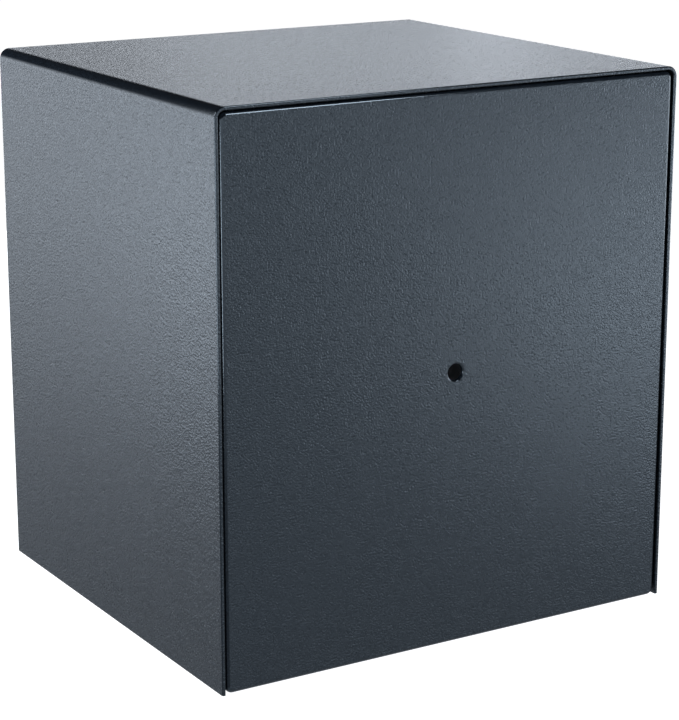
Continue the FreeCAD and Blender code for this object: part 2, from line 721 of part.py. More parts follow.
def cover_screws():
    screws = []
    start = housing_back + dim.cover_sheet
    for x, level in cover_screw_places():
        shank = cylinder((x, housing_back - dim.cover_screw_root, level), dim.cover_screw_radius,
                         dim.cover_sheet + dim.cover_screw_root, "Y")
        head = cone((x, start, level), dim.screw_head, dim.screw_head - dim.screw_slope,
                    dim.screw_head_height, "Y")
        drive = cylinder((x, start + dim.screw_head_height - dim.screw_slope, level), dim.drive_radius,
                         dim.screw_head_height, "Y")
        screws.append(cut(fuse(shank, head), drive))
    sub_part(group(*screws), "cover_screws")


def hinge_blocks():
    """Blocks behind the door plate that hold the pivot pins."""
    blocks = []
    half = dim.pivot_inset
    hole_length = dim.block_height + dim.over * 2
    for start in (door_floor, door_top - dim.block_height):
        block = box((pivot_x - half, door_back, start),
                    (pivot_x + half, door_back + dim.block_depth, start + dim.block_height))
        hole = cylinder((pivot_x, pivot_y, start - dim.over), dim.pin_radius + dim.press_play, hole_length, "Z")
        blocks.append(cut(block, hole))
    sub_part(group(*blocks), "hinge_blocks")


def hinge_pins():
    length = dim.pin_reach + dim.pin_root
    pins = []
    for start in (door_floor - dim.pin_reach, door_top - dim.pin_root):
        pins.append(cylinder((pivot_x, pivot_y, start), dim.pin_radius, length, "Z"))
    sub_part(group(*pins), "hinge_pins")


def hinge_side_dogs():
    """Fixed bolts that reach behind the frame on the pivot side."""
    reach = opening_half + dim.dog_reach
    nose = dim.bolt_chamfer
    dogs = []
    for level in DOG_LEVELS:
        bar = cylinder((dim.dog_root, bolt_y, level), dim.dog_radius, reach - dim.dog_root - nose, "X")
        tip = cone((reach - nose, bolt_y, level), dim.dog_radius, dim.dog_radius - nose, nose, "X")
        dogs.append(fuse(bar, tip))
    sub_part(group(*dogs), "hinge_side_dogs")


def guide_posts():
    """Shouldered posts that the carriage slides on."""
    posts = []
    post_length = carriage_back + dim.post_end - door_back
    spacer_length = carriage_front - dim.spacer_gap - door_back
    for x, level in POSTS:
        post = cylinder((x, door_back, level), dim.post_radius, post_length, "Y")
        spacer = cylinder((x, door_back, level), dim.spacer_radius, spacer_length, "Y")
        posts.append(fuse(post, spacer))
    sub_part(group(*posts), "guide_posts")


def guide_clips():
    start = carriage_back + dim.clip_gap
    bore = dim.post_radius + dim.press_play
    clips = [tube((x, start, level), dim.clip_radius, bore, dim.clip_thickness, "Y") for x, level in POSTS]
    sub_part(group(*clips), "guide_clips")


def spindle_bush():
    """A flanged bush in the door plate; its collar stands inside the rosette."""
    bore = dim.spindle_radius + dim.slip_play
    start = door_front - dim.collar_height
    barrel = tube((dim.handle_x, door_front, middle), dim.bush_outer - dim.slip_play, bore, dim.door_plate, "Y")
    collar = tube((dim.handle_x, start, middle), dim.bush_outer + dim.collar_rim, bore, dim.collar_height, "Y")
    sub_part(fuse(barrel, collar), "spindle_bush")


def handle_rosette():
    body = new_body("handle_rosette")
    start = door_front - dim.rosette_height
    pad(body, "XZ", start, dim.rosette_height, draw_circle, (dim.handle_x, middle), dim.rosette_radius)
    fillet(body, in_plane("Y", start), dim.rosette_round)
    pocket(body, "XZ", start - dim.over, dim.rosette_height + dim.over * 2,
           (draw_circle, (dim.handle_x, middle), dim.rosette_hole))


# ---------------------------------------------------------------- electronic lock

def lock_screw_places():
    across = dim.lock_width / 2 - dim.lock_screw_inset
    low = dim.lock_bottom + dim.lock_screw_inset
    high = dim.lock_bottom + dim.lock_height - dim.lock_screw_inset
    return [(dim.lock_x + across * side, level) for side in (-1, 1) for level in (low, high)]


def hard_plate():
    """The hardened plate between the door plate and the lock."""
    body = new_body("hard_plate")
    reach = dim.lock_width / 2 + dim.hard_margin
    pad(body, "XZ", door_back, dim.hard_plate, draw_rectangle,
        (dim.lock_x - reach, dim.lock_bottom - dim.hard_margin),
        (dim.lock_x + reach, dim.lock_bottom + dim.lock_height + dim.hard_margin))
    pocket(body, "XZ", door_back - dim.over, dim.hard_plate + dim.over * 2,
           *round_holes(lock_screw_places(), dim.lock_screw + dim.slip_play))


def lock_case():
    """The cast case, open to its cover, with a slot in its lower wall for the swing bolt."""
    body = new_body("lock_case")
    half = dim.lock_width / 2
    top = dim.lock_bottom + dim.lock_height
    wall = dim.lock_wall
    pad(body, "XZ", lock_front, dim.lock_depth, draw_rectangle,
        (dim.lock_x - half, dim.lock_bottom), (dim.lock_x + half, top))
    fillet(body, along("Y"), dim.lock_corner)
    post = dim.lock_screw_inset * 2 - wall
    pocket(body, "XZ", lock_front + wall, dim.lock_depth,
           (draw_rectangle, (dim.lock_x - half + wall, dim.lock_bottom + post + wall),
            (dim.lock_x + half - wall, top - post - wall)))
    pocket(body, "XZ", lock_front + wall, dim.lock_depth,
           (draw_rectangle, (dim.lock_x - half + post + wall, dim.lock_bottom + wall),
            (dim.lock_x + half - post - wall, top - wall)))
    slot_half = dim.swing_inset / 2 + dim.swing_tip + dim.swing_slot_play
    reach = dim.swing_thickness / 2 + dim.swing_side_play
    pocket(body, "XY", dim.lock_bottom - dim.over, wall + dim.over * 2,
           (draw_rectangle, (dim.lock_x - slot_half, bolt_y - reach), (dim.lock_x + slot_half, bolt_y + reach)))
    pocket(body, "XZ", lock_front - dim.over, dim.lock_depth + dim.over * 2,
           *round_holes(lock_screw_places(), dim.lock_screw + dim.slip_play))


def lock_cover():
    body = new_body("lock_cover")
    half = dim.lock_width / 2
    pad(body, "XZ", lock_back, dim.lock_cover, draw_rectangle, (dim.lock_x - half, dim.lock_bottom),
        (dim.lock_x + half, dim.lock_bottom + dim.lock_height))
    fillet(body, along("Y"), dim.lock_corner)
    pocket(body, "XZ", lock_back - dim.over, dim.lock_cover + dim.over * 2,
           *round_holes(lock_screw_places(), dim.lock_screw + dim.slip_play))


def lock_screws():
    screws = []
    start = door_back + dim.lock_screw_root
    head_start = lock_back + dim.lock_cover
    head_end = head_start + dim.lock_screw_head_height
    for x, level in lock_screw_places():
        shank = cylinder((x, start, level), dim.lock_screw, head_start - start, "Y")
        head = cylinder((x, head_start, level), dim.lock_screw_head, dim.lock_screw_head_height, "Y")
        socket = cylinder((x, head_end - dim.lock_socket_depth, level), dim.lock_socket,
                          dim.lock_screw_head_height, "Y")
        screws.append(cut(fuse(shank, head), socket))
    sub_part(group(*screws), "lock_screws")


def lock_motor():
    """The drive inside the lock: a motor can on its gear box."""
    floor = lock_front + dim.lock_wall
    low = dim.lock_bottom + dim.gear_box_level
    high = low + dim.gear_box_height
    gear_box = box((dim.lock_x - dim.gear_box_half, floor, low),
                   (dim.lock_x + dim.gear_box_half, floor + dim.gear_box_depth, high))
    can = cylinder((dim.lock_x, floor + dim.gear_box_depth / 2, high), dim.motor_radius, dim.motor_length, "Z")
    sub_part(fuse(gear_box, can), "lock_motor")


def swing_bolt_pin():
    start = lock_front + dim.lock_wall
    pin = cylinder((dim.lock_x, start, swing_pivot_z), dim.swing_pin, lock_back - start, "Y")
    sub_part(pin, "swing_bolt_pin")


def swing_bolt():
    """The lever that blocks the carriage; it leans aside on its pin while the bolts are drawn back."""
    start = bolt_y - dim.swing_thickness / 2
    length = dim.swing_thickness
    lean = stroke / 2
    tip_z = swing_pivot_z - Size(math.sqrt(dim.swing_length.value ** 2 - lean.value ** 2),
                                 f"sqrt({dim.swing_length.formula} ^ 2 - {lean.formula} ^ 2)")
    across = (swing_pivot_z - tip_z) / dim.swing_length * dim.swing_tip
    down = lean / dim.swing_length * dim.swing_tip
    body = new_body("swing_bolt")
    pad(body, "XZ", start, length, draw_polygon, [
        (dim.lock_x - across, swing_pivot_z - down), (swing_tip_x - across, tip_z - down),
        (swing_tip_x + across, tip_z + down), (dim.lock_x + across, swing_pivot_z + down),
    ])
    pad(body, "XZ", start, length, draw_circle, (swing_tip_x, tip_z), dim.swing_tip)
    pad(body, "XZ", start, length, draw_circle, (dim.lock_x, swing_pivot_z), dim.swing_hub)
    pocket(body, "XZ", start - dim.over, length + dim.over * 2,
           (draw_circle, (dim.lock_x, swing_pivot_z), dim.swing_pin + dim.swing_play))


# ---------------------------------------------------------------- bolt work

def bolt_carriage():
    """The plate that carries the bolts: a tall band, and an arm with the crank slot and the lock's edge."""
    body = new_body("bolt_carriage")
    low = middle - dim.carriage_height / 2
    high = middle + dim.carriage_height / 2
    band_right = flange_right + dim.band_width
    push_edge = swing_tip_x - dim.swing_tip - dim.swing_gap
    push_top = swing_pivot_z - dim.push_edge_drop
    pad(body, "XZ", carriage_front, dim.carriage_sheet, draw_polygon, [
        (flange_left, low), (band_right, low), (band_right, dim.arm_bottom), (dim.arm_reach, dim.arm_bottom),
        (dim.arm_reach, dim.arm_top), (push_edge, dim.arm_top), (push_edge, push_top), (band_right, push_top),
        (band_right, high), (flange_left, high),
    ])
    pad(body, "XZ", bolt_y - dim.carriage_flange_depth / 2, dim.carriage_flange_depth, draw_rectangle,
        (flange_left, low), (flange_right, high))
    fit = dim.post_radius + dim.slide_play
    through = dim.carriage_sheet + dim.over * 2
    for x, level in POSTS:
        pocket(body, "XZ", carriage_front - dim.over, through,
               (draw_rectangle, (x - fit, level - fit), (x + stroke + fit, level + fit)))
    slot_half = dim.crank_slot / 2
    room = dim.crank_pin + dim.crank_slot_end
    pocket(body, "XZ", carriage_front - dim.over, through,
           (draw_rectangle, (crank_pin_x - slot_half, crank_pin_z - room),
            (crank_pin_x + slot_half, middle + dim.crank_radius + room)))
    through_edge = both(along("Y"), lambda b: near(b.YLength, dim.carriage_sheet))
    fillet(body, both(through_edge, lambda b: slot_corner(b.XMin, b.ZMin)), dim.post_radius)
    pocket(body, "YZ", flange_left - dim.over, dim.carriage_flange + dim.over * 2,
           *round_holes([(bolt_y, level) for level in BOLT_LEVELS], dim.bolt_stud + dim.press_play))


def slot_corner(x, z):
    """Whether a vertical line of the carriage is a corner of one of its slots."""
    fit = (dim.post_radius + dim.slide_play).value
    for post_x, level in POSTS:
        at_end = near(x, post_x.value - fit) or near(x, post_x.value + stroke.value + fit)
        if at_end and abs(z - level.value) < fit + TOLERANCE:
            return True
    return near(abs(x - crank_pin_x.value), dim.crank_slot / 2) and z < dim.arm_top.value - TOLERANCE


def locking_bolts():
    """Round bolts with a chamfered nose and a stud pressed into the carriage."""
    nose = dim.bolt_chamfer
    bolts = []
    for level in BOLT_LEVELS:
        tip = cone((-dim.bolt_rest, bolt_y, level), dim.bolt_radius - nose, dim.bolt_radius, nose, "X")
        bar = cylinder((nose - dim.bolt_rest, bolt_y, level), dim.bolt_radius, dim.bolt_length - nose, "X")
        stud = cylinder((flange_left, bolt_y, level), dim.bolt_stud, dim.carriage_flange, "X")
        bolts.append(fuse(tip, bar, stud))
    sub_part(group(*bolts), "locking_bolts")


# ---------------------------------------------------------------- handle

def crank_spindle():
    """The handle's shaft with a disc and an off-centre pin that drives the carriage."""
    start = door_front - dim.spindle_reach
    disc_front = disc_back - dim.crank_disc_thickness
    centre = (dim.handle_x, middle)
    body = new_body("crank_spindle")
    pad(body, "XZ", start, disc_front - start, draw_circle, centre, dim.spindle_radius)
    pad(body, "XZ", disc_front, dim.crank_disc_thickness, draw_circle, centre, dim.crank_disc)
    pad(body, "XZ", disc_back, carriage_back + dim.crank_pin_end - disc_back, draw_circle,
        (crank_pin_x, crank_pin_z), dim.crank_pin)
    pocket(body, "XZ", door_back + dim.groove_start, dim.groove_width,
           (draw_circle, centre, dim.spindle_radius + dim.over),
           (draw_circle, centre, dim.spindle_radius - dim.groove_depth))


def spindle_circlip():
    start = door_back + dim.groove_start + dim.slip_play
    bore = dim.spindle_radius - dim.groove_depth + dim.press_play
    ring = tube((dim.handle_x, start, middle), dim.spindle_radius + dim.circlip_rim, bore,
                dim.circlip_thickness, "Y")
    sub_part(ring, "spindle_circlip")


def handle():
    """A straight grip on a round boss, upright while the bolts are drawn back."""
    boss_front = boss_back - dim.boss_height
    grip_front = boss_front - dim.grip_depth
    body = new_body("handle")
    pad(body, "XZ", boss_front, dim.boss_height, draw_circle, (dim.handle_x, middle), dim.boss_radius)
    fillet(body, in_plane("Y", boss_back), dim.boss_round)
    pad(body, "XZ", grip_front, dim.grip_depth, draw_rectangle,
        *around((dim.handle_x, middle), dim.grip_width / 2, dim.grip_length / 2))
    fillet(body, both(along("Y"), lambda b: near(b.YLength, dim.grip_depth)), dim.grip_end_radius)
    fillet(body, in_plane("Y", grip_front), dim.grip_round)
    pocket(body, "XZ", door_front - dim.spindle_reach - dim.spindle_end_gap, dim.spindle_reach,
           (draw_circle, (dim.handle_x, middle), dim.spindle_radius + dim.press_play))
    pocket(body, "YZ", dim.handle_x + dim.spindle_radius - dim.over, dim.boss_radius,
           (draw_circle, (boss_back - dim.grub_level, middle), dim.grub_radius + dim.press_play))


def handle_grub_screw():
    place_y = boss_back - dim.grub_level
    start = dim.handle_x + dim.spindle_radius + dim.grub_gap
    screw = cylinder((start, place_y, middle), dim.grub_radius, dim.grub_length, "X")
    socket = cylinder((start + dim.grub_length - dim.grub_socket_depth, place_y, middle), dim.grub_socket,
                      dim.grub_length, "X")
    sub_part(cut(screw, socket), "handle_grub_screw")


# ---------------------------------------------------------------- keypad

def key_places():
    """Each key's name and centre, row by row from the top."""
    for row, names in enumerate(KEY_ROWS):
        for column, name in enumerate(names):
            yield name, (dim.keypad_x + dim.key_pitch_x * (column - 1),
                         dim.key_grid_level + dim.key_pitch_z * (1.5 - row))


def light_places():
    return [(dim.keypad_x + dim.light_spacing / 2 * side, dim.light_level) for side in (-1, 1)]


def keypad_screw_places():
    level = dim.keypad_level - dim.keypad_screw_drop
    return [(dim.keypad_x + dim.keypad_screw_x * side, level) for side in (-1, 1)]


def keypad_housing():
    """The moulded housing, open at the back, with a window for each key and a slot for the battery tray."""
    body = new_body("keypad_housing")
    half = dim.keypad_width / 2
    wall = dim.keypad_wall
    pad(body, "XZ", keypad_front, dim.keypad_depth, draw_rectangle,
        (dim.keypad_x - half, keypad_floor), (dim.keypad_x + half, keypad_top))
    fillet(body, along("Y"), dim.keypad_corner)
    fillet(body, in_plane("Y", keypad_front), dim.keypad_round)
    pocket(body, "XZ", keypad_inside, dim.keypad_depth,
           (draw_rounded, (dim.keypad_x - half + wall, keypad_floor + wall),
            (dim.keypad_x + half - wall, keypad_top - wall), dim.keypad_corner - wall))
    across = dim.key_width / 2 + dim.key_play
    up = dim.key_height / 2 + dim.key_play
    through = dim.keypad_front + dim.over * 2
    pocket(body, "XZ", keypad_front - dim.over, through,
           *((draw_rectangle, *around(centre, across, up)) for name, centre in key_places()))
    pocket(body, "XZ", keypad_front - dim.over, through,
           *round_holes(light_places(), dim.light_radius + dim.slip_play))
    slot = dim.tray_half + dim.slot_play
    pocket(body, "XY", keypad_floor - dim.over, wall + dim.over * 2,
           (draw_rectangle, (dim.keypad_x - slot, keypad_inside + dim.slot_front_gap),
            (dim.keypad_x + slot, back_plate_front - dim.slot_back_gap)))


def keypad_back_plate():
    body = new_body("keypad_back_plate")
    centre = (dim.keypad_x, dim.keypad_level)
    across = dim.keypad_width / 2 - dim.keypad_wall - dim.plate_play
    up = dim.keypad_height / 2 - dim.keypad_wall - dim.plate_play
    pad(body, "XZ", back_plate_front, dim.back_plate, draw_rectangle, *around(centre, across, up))
    fillet(body, along("Y"), dim.keypad_corner - dim.keypad_wall)
    pocket(body, "XZ", back_plate_front - dim.over, dim.back_plate + dim.over * 2,
           (draw_circle, centre, dim.cable_hole),
           *round_holes(keypad_screw_places(), dim.keypad_screw + dim.slip_play))


def keypad_screws():
    screws = []
    for x, level in keypad_screw_places():
        shank = cylinder((x, back_plate_front, level), dim.keypad_screw, dim.keypad_screw_length, "Y")
        head = cylinder((x, back_plate_front - dim.keypad_screw_head_height, level), dim.keypad_screw_head,
                        dim.keypad_screw_head_height, "Y")
        screws.append(fuse(shank, head))
    sub_part(group(*screws), "keypad_screws")


def keypad_board():
    half = dim.keypad_width / 2 - dim.keypad_wall - dim.board_play
    board = box((dim.keypad_x - half, board_front, dim.key_grid_level - dim.board_below),
                (dim.keypad_x + half, board_front + dim.board_thickness, dim.key_grid_level + dim.board_above))
    sub_part(board, "keypad_board")


def key_dome_mat():
    half = dim.key_pitch_x * 1.5
    up = dim.key_pitch_z * 2
    mat = box((dim.keypad_x - half, mat_front, dim.key_grid_level - up),
              (dim.keypad_x + half, board_front, dim.key_grid_level + up))
    domes = []
    for name, (x, level) in key_places():
        domes.append(cone((x, dome_front, level), dim.dome_tip, dim.dome_base, dim.dome_height, "Y"))
    sub_part(fuse(mat, *domes), "key_dome_mat")


def indicator_lights():
    start = keypad_front - dim.light_proud
    lights = []
    for x, level in light_places():
        lights.append(cylinder((x, start, level), dim.light_radius, dim.light_length, "Y"))
    sub_part(group(*lights), "indicator_lights")


def key(name, centre):
    """A key cap with a flange that holds it behind the window, and a stem over its dome."""
    cap_front = keypad_front - dim.key_raise
    flange_front = keypad_inside + dim.key_flange_gap
    body = new_body(name)
    pad(body, "XZ", cap_front, flange_front - cap_front, draw_rectangle,
        *around(centre, dim.key_width / 2, dim.key_height / 2))
    fillet(body, along("Y"), dim.key_corner)
    fillet(body, in_plane("Y", cap_front), dim.key_edge)
    reach = dim.key_flange_reach
    pad(body, "XZ", flange_front, dim.key_flange, draw_rectangle,
        *around(centre, dim.key_width / 2 + reach, dim.key_height / 2 + reach))
    stem_front = flange_front + dim.key_flange
    stem_back = dome_front - dim.key_travel - dim.stem_gap
    pad(body, "XZ", stem_front, stem_back - stem_front, draw_circle, centre, dim.key_stem)


def battery_tray():
    """The drawer below the keys: an end cap with a thumb lip, a back and two cheeks."""
    body = new_body("battery_tray")
    half = dim.tray_half
    skin = dim.tray_sheet
    tray_front = keypad_inside + dim.tray_front_gap
    cap_floor = keypad_floor - dim.tray_lip
    floor = keypad_floor + dim.keypad_wall
    cheek = dim.battery_width / 2 + dim.battery_play
    pad(body, "XY", cap_floor, floor - cap_floor, draw_rectangle,
        (dim.keypad_x - half, tray_front), (dim.keypad_x + half, tray_back))
    fillet(body, both(along("X"), in_plane("Z", cap_floor)), dim.tray_edge)
    pad(body, "XY", floor, dim.tray_height, draw_polygon, [
        (dim.keypad_x - cheek - skin, tray_front), (dim.keypad_x - cheek, tray_front),
        (dim.keypad_x - cheek, tray_back - skin), (dim.keypad_x + cheek, tray_back - skin),
        (dim.keypad_x + cheek, tray_front), (dim.keypad_x + cheek + skin, tray_front),
        (dim.keypad_x + cheek + skin, tray_back), (dim.keypad_x - cheek - skin, tray_back),
    ])


def battery():
    rear = tray_back - dim.tray_sheet - dim.battery_gap
    floor = keypad_floor + dim.keypad_wall + dim.battery_gap
    half = dim.battery_width / 2
    body = new_body("battery")
    pad(body, "XY", floor, dim.battery_height, draw_rectangle,
        (dim.keypad_x - half, rear - dim.battery_depth), (dim.keypad_x + half, rear))
    fillet(body, along("X"), dim.battery_edge)


# ---------------------------------------------------------------- build, check and write

def build():
    for make in (
        outer_wrap, rear_panel, bottom_plate, inner_wrap, inner_floor_sheet, inner_rear_sheet, wall_infill,
        anchor_sleeves, door_frame, door_stop_bars, hinge_bushes, shelf, shelf_rails, floor_mat,
        door_plate, bolt_housing, bolt_cover, cover_screws, hinge_blocks, hinge_pins, hinge_side_dogs,
        guide_posts, guide_clips, spindle_bush, handle_rosette,
        hard_plate, lock_case, lock_cover, lock_screws, lock_motor, swing_bolt_pin, swing_bolt,
        bolt_carriage, locking_bolts, crank_spindle, spindle_circlip, handle, handle_grub_screw,
        keypad_housing, keypad_back_plate, keypad_screws, keypad_board, key_dome_mat, indicator_lights,
        battery_tray, battery,
    ):
        make()
    for name, centre in key_places():
        key(name, centre)
    doc.recompute()


def check():
    for thing in doc.Objects:
        if "Invalid" in thing.State or "Error" in thing.State:
            raise RuntimeError(f"{thing.Label} failed: {thing.State}")
    for thing in pieces:
        if thing.Shape.isNull() or not thing.Shape.isValid():
            raise RuntimeError(f"{thing.Label} has no valid shape")


def write():
    os.makedirs("parts", exist_ok=True)
    for thing in pieces:
        thing.Shape.exportStep(f"parts/{thing.Label}.step")


build()
check()
write()
print(f"{len(pieces)} sub-parts, stroke {stroke.value:.3f} mm")
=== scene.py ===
"""Looks of a small handgun safe in textured anthracite powder coat, seen from behind.

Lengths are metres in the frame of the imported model: +Z up, the door towards -Y, the rear wall towards +Y.
"""
import json
import math

import bmesh
import bpy
from mathutils import Matrix, Vector, noise


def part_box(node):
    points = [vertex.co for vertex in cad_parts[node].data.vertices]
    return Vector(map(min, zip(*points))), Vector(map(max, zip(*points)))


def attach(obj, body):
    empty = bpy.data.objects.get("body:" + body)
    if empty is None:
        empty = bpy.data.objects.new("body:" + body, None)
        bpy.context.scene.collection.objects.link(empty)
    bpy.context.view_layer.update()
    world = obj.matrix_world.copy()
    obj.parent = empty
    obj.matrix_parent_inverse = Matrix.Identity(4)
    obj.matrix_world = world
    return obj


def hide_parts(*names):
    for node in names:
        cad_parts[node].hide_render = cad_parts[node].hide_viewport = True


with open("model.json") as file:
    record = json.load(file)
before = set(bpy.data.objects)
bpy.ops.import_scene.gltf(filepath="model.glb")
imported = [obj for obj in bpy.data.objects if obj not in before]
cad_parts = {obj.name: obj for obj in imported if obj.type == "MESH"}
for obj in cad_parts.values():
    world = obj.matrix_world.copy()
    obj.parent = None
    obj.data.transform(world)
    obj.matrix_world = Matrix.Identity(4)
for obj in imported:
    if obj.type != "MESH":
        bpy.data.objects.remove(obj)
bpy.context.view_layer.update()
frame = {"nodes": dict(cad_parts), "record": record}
nodes = frame["nodes"]
MM = 0.001

# ---------------------------------------------------------------- camera

CAMERA_PLACE = Vector((1.0145, 1.6803, 0.7270))
CAMERA_TARGET = Vector((-0.0106, 0.0, 0.1983))
FOCAL_LENGTH = 114.0


def add_camera():
    data = bpy.data.cameras.new("camera")
    data.lens = FOCAL_LENGTH
    data.sensor_width = 36
    data.clip_end = 50
    camera = bpy.data.objects.new("camera", data)
    camera.location = CAMERA_PLACE
    camera.rotation_euler = (CAMERA_TARGET - CAMERA_PLACE).to_track_quat("-Z", "Y").to_euler()
    bpy.context.scene.collection.objects.link(camera)
    bpy.context.scene.camera = camera


# ---------------------------------------------------------------- node helpers

# How square to an axis a surface is, as a cosine, where it counts as fully bent and as flat.
BEND_COSINE = 0.96
FLAT_COSINE = 0.998


class Look:
    """A material of nodes around one Principled shader, in object coordinates."""

    def __init__(self, name, **constants):
        self.material = bpy.data.materials.new(name)
        self.material.use_nodes = True
        self.tree = self.material.node_tree
        self.shader = self.tree.nodes["Principled BSDF"]
        self.place = self.add("ShaderNodeTexCoord").outputs["Object"]
        for socket, number in constants.items():
            self.shader.inputs[socket.replace("_", " ")].default_value = number

    def add(self, kind, inputs=None, **settings):
        node = self.tree.nodes.new(kind)
        for name, setting in settings.items():
            setattr(node, name, setting)
        for socket, source in (inputs or {}).items():
            self.feed(node.inputs[socket], source)
        return node

    def feed(self, socket, source):
        """Link a socket, or set it where the source is a plain number or colour."""
        if isinstance(source, bpy.types.NodeSocket):
            self.tree.links.new(source, socket)
        else:
            socket.default_value = source

    def stretched(self, scale):
        return self.add("ShaderNodeMapping", {"Vector": self.place, "Scale": scale}).outputs["Vector"]

    def noise(self, size, detail=2.0, place=None, distortion=0.0):
        """Noise whose features are about size metres across."""
        inputs = {"Vector": place or self.place, "Scale": 1 / size, "Detail": detail, "Distortion": distortion}
        return self.add("ShaderNodeTexNoise", inputs).outputs["Fac"]

    def ramp(self, source, low, high, start=0.0, end=1.0):
        inputs = {"Value": source, "From Min": low, "From Max": high, "To Min": start, "To Max": end}
        return self.add("ShaderNodeMapRange", inputs).outputs["Result"]

    def math(self, operation, first, second):
        return self.add("ShaderNodeMath", {0: first, 1: second}, operation=operation).outputs[0]

    def mix(self, factor, first, second):
        node = self.add("ShaderNodeMix", data_type="RGBA")
        for number, source in ((0, factor), (6, first), (7, second)):
            self.feed(node.inputs[number], source)
        return node.outputs[2]

    def bump(self, height, distance, before=None):
        inputs = {"Height": height, "Distance": distance}
        if before is not None:
            inputs["Normal"] = before
        return self.add("ShaderNodeBump", inputs).outputs["Normal"]

    def flatness(self):
        """One on faces square to the axes, falling to nought on bends and rounded edges."""
        normal = self.add("ShaderNodeTexCoord").outputs["Normal"]
        sizes = self.add("ShaderNodeVectorMath", {0: normal}, operation="ABSOLUTE").outputs[0]
        axes = self.add("ShaderNodeSeparateXYZ", {"Vector": sizes}).outputs
        largest = self.math("MAXIMUM", self.math("MAXIMUM", axes["X"], axes["Y"]), axes["Z"])
        return self.ramp(largest, BEND_COSINE, FLAT_COSINE)

    def finish(self, **sockets):
        for socket, source in sockets.items():
            self.feed(self.shader.inputs[socket.replace("_", " ")], source)
        return self.material


def shade(colour):
    return (*colour, 1.0)


def scaled(colour, factor):
    return shade(channel * factor for channel in colour)


# ---------------------------------------------------------------- materials

# The coat is nearly black: most of its brightness is reflection.
COAT = (0.0060, 0.0085, 0.0120)
COAT_GLOSS_TINT = (0.78, 0.91, 1.0, 1.0)
COAT_ROUGHNESS = 0.24
COAT_ROUGHNESS_SPREAD = 0.04
BEND_ROUGHNESS = 0.12
BEAD_SIZE = 1.5 * MM
BEAD_HEIGHT = 0.55 * MM
WAVE_SIZE = 9 * MM
WAVE_HEIGHT = 0.08 * MM


def powder_coat(name, colour, grain=1.0):
    """Textured powder coat: glossy beads, drawn thin and smooth over bends, with painted shade in the hollows
    between them and painted highlights on their crests.
    """
    look = Look(name, Specular_IOR_Level=0.5, Specular_Tint=COAT_GLOSS_TINT)
    flat = look.flatness()
    beads = look.noise(BEAD_SIZE, detail=1.6)
    waves = look.noise(WAVE_SIZE, detail=1.0)
    relief = look.math("MULTIPLY", look.math("SUBTRACT", beads, 0.5), flat)
    normal = look.bump(waves, WAVE_HEIGHT)
    normal = look.bump(relief, BEAD_HEIGHT * grain, normal)
    # Painted shade and painted highlight: the base colour is darker in the bead hollows and lighter on the bead
    # crests. grain scales this as well as the bump.
    bead_painted_shade, bead_painted_highlight = scaled(colour, 1 - 0.5 * grain), scaled(colour, 1 + 0.5 * grain)
    dull, bright = COAT_ROUGHNESS + COAT_ROUGHNESS_SPREAD, COAT_ROUGHNESS - COAT_ROUGHNESS_SPREAD
    textured = look.ramp(beads, 0.35, 0.65, dull, bright)
    extra = look.math("MULTIPLY", look.math("SUBTRACT", textured, BEND_ROUGHNESS), flat)
    return look.finish(
        Base_Color=look.mix(look.ramp(beads, 0.32, 0.68), bead_painted_shade, bead_painted_highlight),
        Roughness=look.math("ADD", extra, BEND_ROUGHNESS),
        Normal=normal,
    )


def metal(name, colour, roughness, grain=(1, 1, 1), size=0.6, depth=0.004, spread=0.08):
    """Bare or plated metal: tool marks along the axis that the grain is stretched on, and a mottled gloss.

    The marks' size and depth are in millimetres.
    """
    look = Look(name, Metallic=1.0)
    marks = look.noise(size * MM, detail=3.0, place=look.stretched(grain))
    clouds = look.noise(9 * MM, detail=4.0)
    return look.finish(
        Base_Color=look.mix(look.ramp(clouds, 0.3, 0.7), scaled(colour, 0.86), scaled(colour, 1.06)),
        Roughness=look.ramp(look.math("ADD", marks, clouds), 0.7, 1.3, roughness - spread, roughness + spread),
        Normal=look.bump(marks, depth * MM),
    )


def plastic(name, colour, roughness, size=0.5, depth=0.02, **constants):
    """Moulded plastic with a spark-eroded texture, its size and depth in millimetres."""
    look = Look(name, **constants)
    texture = look.noise(size * MM, detail=1.5)
    clouds = look.noise(14 * MM, detail=3.0)
    return look.finish(
        Base_Color=look.mix(look.ramp(clouds, 0.3, 0.7), scaled(colour, 0.92), scaled(colour, 1.10)),
        Roughness=look.ramp(clouds, 0.3, 0.7, roughness - 0.05, roughness + 0.05),
        Normal=look.bump(texture, depth * MM),
    )


def felt(name, colour):
    look = Look(name, Sheen_Weight=0.35, Sheen_Roughness=0.45, Specular_IOR_Level=0.15)
    fibres = look.noise(0.5 * MM, detail=4.0, place=look.stretched((1, 0.45, 1)), distortion=1.6)
    tufts = look.noise(3.5 * MM, detail=3.0, distortion=0.8)
    height = look.math("ADD", fibres, tufts)
    return look.finish(
        Base_Color=look.mix(look.ramp(fibres, 0.35, 0.65), scaled(colour, 0.65), scaled(colour, 1.5)),
        Roughness=look.ramp(tufts, 0.3, 0.7, 0.88, 1.0),
        Normal=look.bump(height, 0.5 * MM),
    )


def concrete(name, colour):
    look = Look(name, Specular_IOR_Level=0.3)
    sand = look.noise(1.2 * MM, detail=5.0)
    lumps = look.noise(9 * MM, detail=3.0)
    return look.finish(
        Base_Color=look.mix(look.ramp(sand, 0.3, 0.7), scaled(colour, 0.7), scaled(colour, 1.1)),
        Roughness=look.ramp(lumps, 0.3, 0.7, 0.8, 0.95),
        Normal=look.bump(look.math("ADD", sand, lumps), 0.5 * MM),
    )


